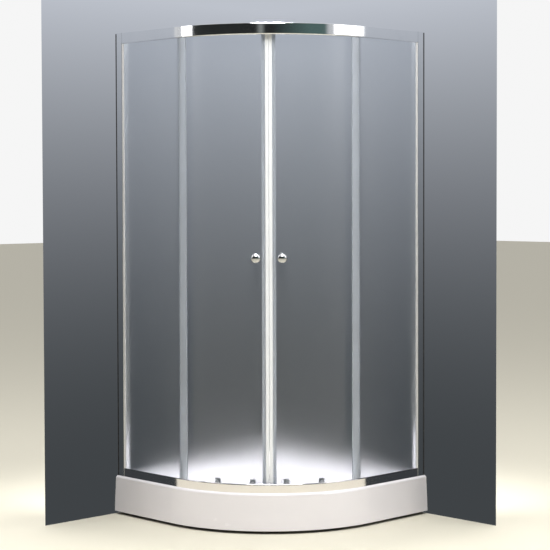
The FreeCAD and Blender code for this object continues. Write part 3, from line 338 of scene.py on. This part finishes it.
def rubber():
    """Soft black rubber: matt, dusty in its hollows."""
    finish = Finish("rubber_black", IOR=1.5)
    dust = finish.noise(90.0, 5.0, roughness=0.7).between(0.35, 0.95)
    finish.set("Base Color", finish.blend(dust, grey(0.018), grey(0.075, 0.05)))
    finish.set("Roughness", 0.62 + dust * 0.25)
    finish.bump(finish.noise(1100.0, 2.0), 0.00004)
    return finish.material


def frosted_glass():
    """Toughened glass, satin-etched: lets light through and blurs what is behind it."""
    finish = Finish("frosted_glass", Transmission_Weight=1.0, IOR=1.45)
    etch = finish.noise(2600.0, 2.0)
    clouds = finish.noise(2.2, 3.0)
    finish.set("Base Color", finish.blend(clouds, (0.917, 0.942, 0.968, 1), (0.887, 0.917, 0.948, 1)))
    finish.set("Roughness", 0.27 + clouds * 0.02 + etch * 0.02)
    finish.bump(etch, 0.000012)
    return finish.material


def clear_seal():
    """Milky flexible strip: two thirds of the light goes through, with extrusion lines along it."""
    finish = Finish("clear_seal", Transmission_Weight=0.69, IOR=1.42)
    lines = finish.noise(1.0, 2.0, stretch=(1100, 1100, 2.5))
    haze = finish.noise(7.0, 4.0)
    finish.set("Base Color", finish.blend(haze, (0.80, 0.84, 0.90, 1), (0.73, 0.77, 0.83, 1)))
    finish.set("Roughness", 0.28 + haze * 0.1 + lines * 0.06)
    finish.bump(lines, 0.00003)
    return finish.material


def magnet_cover():
    """White soft plastic over the magnet: nearly plain, with faint lines along it."""
    finish = Finish("magnet_white", IOR=1.46)
    lines = finish.noise(1.0, 2.0, stretch=(1300, 1300, 3))
    haze = finish.noise(12.0, 4.0)
    finish.set("Base Color", finish.blend(haze, (0.93, 0.945, 0.97, 1), (0.88, 0.895, 0.92, 1)))
    finish.set("Roughness", 0.38 + lines * 0.1)
    finish.bump(lines, 0.00002)
    return finish.material


# ---------------------------------------------------------------- pieces

def finishes_by_slot():
    """One material for each material slot of the record."""
    return {
        "white_acrylic": acrylic(),
        "board": board(),
        "galvanised_steel": galvanised(),
        "black_plastic": moulded("black_plastic", grey(0.022), grey(0.035), 0.42),
        "grey_plastic": moulded("grey_plastic", grey(0.50, -0.03), grey(0.44, -0.03), 0.40),
        "white_plastic": moulded("white_plastic", grey(0.80, 0.01), grey(0.72, 0.02), 0.32),
        "rubber_black": rubber(),
        "polished_aluminium": polished_aluminium(),
        "mill_aluminium": mill_aluminium(),
        "stainless_steel": stainless(),
        "chrome": chrome(),
        "frosted_glass": frosted_glass(),
        "clear_seal": clear_seal(),
        "magnet_white": magnet_cover(),
    }


def dress():
    """Gives every node of the frame its finish, by the material slot that it has."""
    finishes = finishes_by_slot()
    rails = {
        "top_rail": rolled_rail("polished_rail", (0.955, 0.96, 0.965, 1), (0.90, 0.91, 0.92, 1)),
        # The bottom rail is the same polished profile as the top rail with a darker colour: shade painted into
        # it.
        "bottom_rail": rolled_rail("shaded_rail", (0.80, 0.775, 0.78, 1), (0.755, 0.73, 0.735, 1)),
    }
    for name, node in frame["nodes"].items():
        for slot in node.material_slots:
            slot.material = rails.get(name) or finishes[slot.material.name.split(".")[0]]


# ---------------------------------------------------------------- studio

def camera():
    """The camera where the photograph was taken from."""
    data = bpy.data.cameras.new("camera")
    data.lens = LENS
    data.sensor_width = SENSOR
    data.shift_x, data.shift_y = SHIFT
    data.clip_end = 100
    seen = bpy.data.objects.new("camera", data)
    bpy.context.scene.collection.objects.link(seen)
    seen.location = (DISTANCE * math.sin(AZIMUTH), -DISTANCE * math.cos(AZIMUTH), CAMERA_HEIGHT)
    turn = Euler((math.pi / 2 + PITCH, 0, AZIMUTH)).to_matrix().to_4x4()
    seen.rotation_euler = (turn @ Euler((0, 0, ROLL)).to_matrix().to_4x4()).to_euler()
    bpy.context.scene.camera = seen


def card(name, corners, material):
    """Flat stage piece through four corners."""
    mesh = bpy.data.meshes.new(name)
    mesh.from_pydata(corners, [], [range(len(corners))])
    piece = bpy.data.objects.new(name, mesh)
    bpy.context.scene.collection.objects.link(piece)
    mesh.materials.append(material)


def wall_painted_light():
    """Slate wall that glows by itself, with painted light at the top and painted shade at the foot, seen only
    from the room.

    It lets the tray's back edge, a few millimetres from it, take light as in the open.
    """
    material = bpy.data.materials.new("wall_painted_light")
    nodes = Nodes(material)
    place = nodes.node("ShaderNodeTexCoord", {}, {}, "Object")
    height = nodes.split(place)[2]
    fade = height.between(0.0, WALL_FADE_TOP) ** WALL_FADE_CURVE
    shade = nodes.blend(fade, WALL_FOOT_PAINTED_SHADE, WALL_HEAD_PAINTED_LIGHT)
    # The wall's colour is emitted: a painted glow of light and shade, not light from the lamps.
    painted_glow = nodes.node("ShaderNodeEmission", {}, {"Color": shade, "Strength": 1.0})
    clear = nodes.node("ShaderNodeBsdfTransparent", {}, {})
    behind = nodes.node("ShaderNodeNewGeometry", {}, {}, "Backfacing")
    run = nodes.node("ShaderNodeLightPath", {}, {}, "Ray Length")
    tray_back = (1 - run.between(*BACK_EDGE_RUN)) * (1 - height.between(TRAY_TOP - 0.004, TRAY_TOP))
    mix = nodes.tree.nodes.new("ShaderNodeMixShader")
    feed(nodes.tree, mix.inputs[0], (behind + tray_back).held())
    feed(nodes.tree, mix.inputs[1], painted_glow)
    feed(nodes.tree, mix.inputs[2], clear)
    output = nodes.tree.nodes.new("ShaderNodeOutputMaterial")
    nodes.tree.links.new(mix.outputs[0], output.inputs[0])
    return material


def floor_paint():
    """Plain pale cream floor."""
    finish = Finish("floor_paint", IOR=1.3)
    finish.set("Base Color", FLOOR_COLOUR)
    finish.set("Roughness", 0.75)
    return finish.material


def room():
    """The pale floor and the two walls that the enclosure stands against."""
    far = FLOOR_REACH
    card("floor", [(-far, -far, FLOOR), (far, -far, FLOOR), (far, far, FLOOR), (-far, far, FLOOR)],
         floor_paint())
    painted_glow = wall_painted_light()
    left, right = LEFT_WALL - WALL_GAP, RIGHT_WALL + WALL_GAP
    near, far = right - WALL_REACH, left + WALL_REACH
    top = WALL_HEIGHT
    card("left_wall_stage",
         [(left, near, FLOOR), (left, right, FLOOR), (left, right, top), (left, near, top)], painted_glow)
    card("right_wall_stage",
         [(left, right, FLOOR), (far, right, FLOOR), (far, right, top), (left, right, top)], painted_glow)


def lamp(name, azimuth, elevation, distance, size, power, spread):
    """Soft lamp that looks at the middle of the enclosure."""
    data = bpy.data.lights.new(name, "AREA")
    data.shape = "RECTANGLE"
    data.size, data.size_y = size
    data.energy = power
    data.spread = math.radians(spread)
    thing = bpy.data.objects.new(name, data)
    bpy.context.scene.collection.objects.link(thing)
    a, e = math.radians(azimuth), math.radians(elevation)
    back = Vector((math.sin(a) * math.cos(e), -math.cos(a) * math.cos(e), math.sin(e)))
    thing.location = Vector((0, 0, 1.0)) + back * distance
    thing.rotation_euler = (-back).to_track_quat("-Z", "Y").to_euler()


def world():
    """White studio behind, grey at the sides, and dark in front of the doors below head height."""
    sky = bpy.data.worlds.new("studio")
    bpy.context.scene.world = sky
    nodes = Nodes(sky)
    way = nodes.node("ShaderNodeTexCoord", {}, {}, "Generated")
    x, y, z = nodes.split(way)
    bearing = x.math("ARCTAN2", x, y * -1.0) * math.degrees(1)
    front = bearing.between(*DARK_FROM) * (1 - bearing.between(*DARK_TO))
    under = 1 - z.between(*DARK_UP_TO)
    offset = bearing - STRIP_BEARING
    strip = (1 - offset.math("ABSOLUTE", offset) * STRIP_FADE).held()
    dark = nodes.blend(bearing.between(*GREEN_BEARINGS), DARK, DARK_GREEN)
    dark = nodes.blend(strip * 0.9, dark, STRIP_LIGHT)
    behind = (x * math.sin(AZIMUTH) - y * math.cos(AZIMUTH)).between(-0.2, 0.1)
    pale = nodes.blend(behind, PALE_BEHIND, PALE_SIDES)
    shade = nodes.blend(front * under, pale, dark)
    glow = nodes.node("ShaderNodeBackground", {}, {"Color": shade, "Strength": 1.0})
    output = nodes.tree.nodes.new("ShaderNodeOutputWorld")
    nodes.tree.links.new(glow.socket, output.inputs[0])


dress()
camera()
room()
for row in LAMPS:
    lamp(*row)
world()
bpy.context.scene.view_settings.view_transform = "Standard"
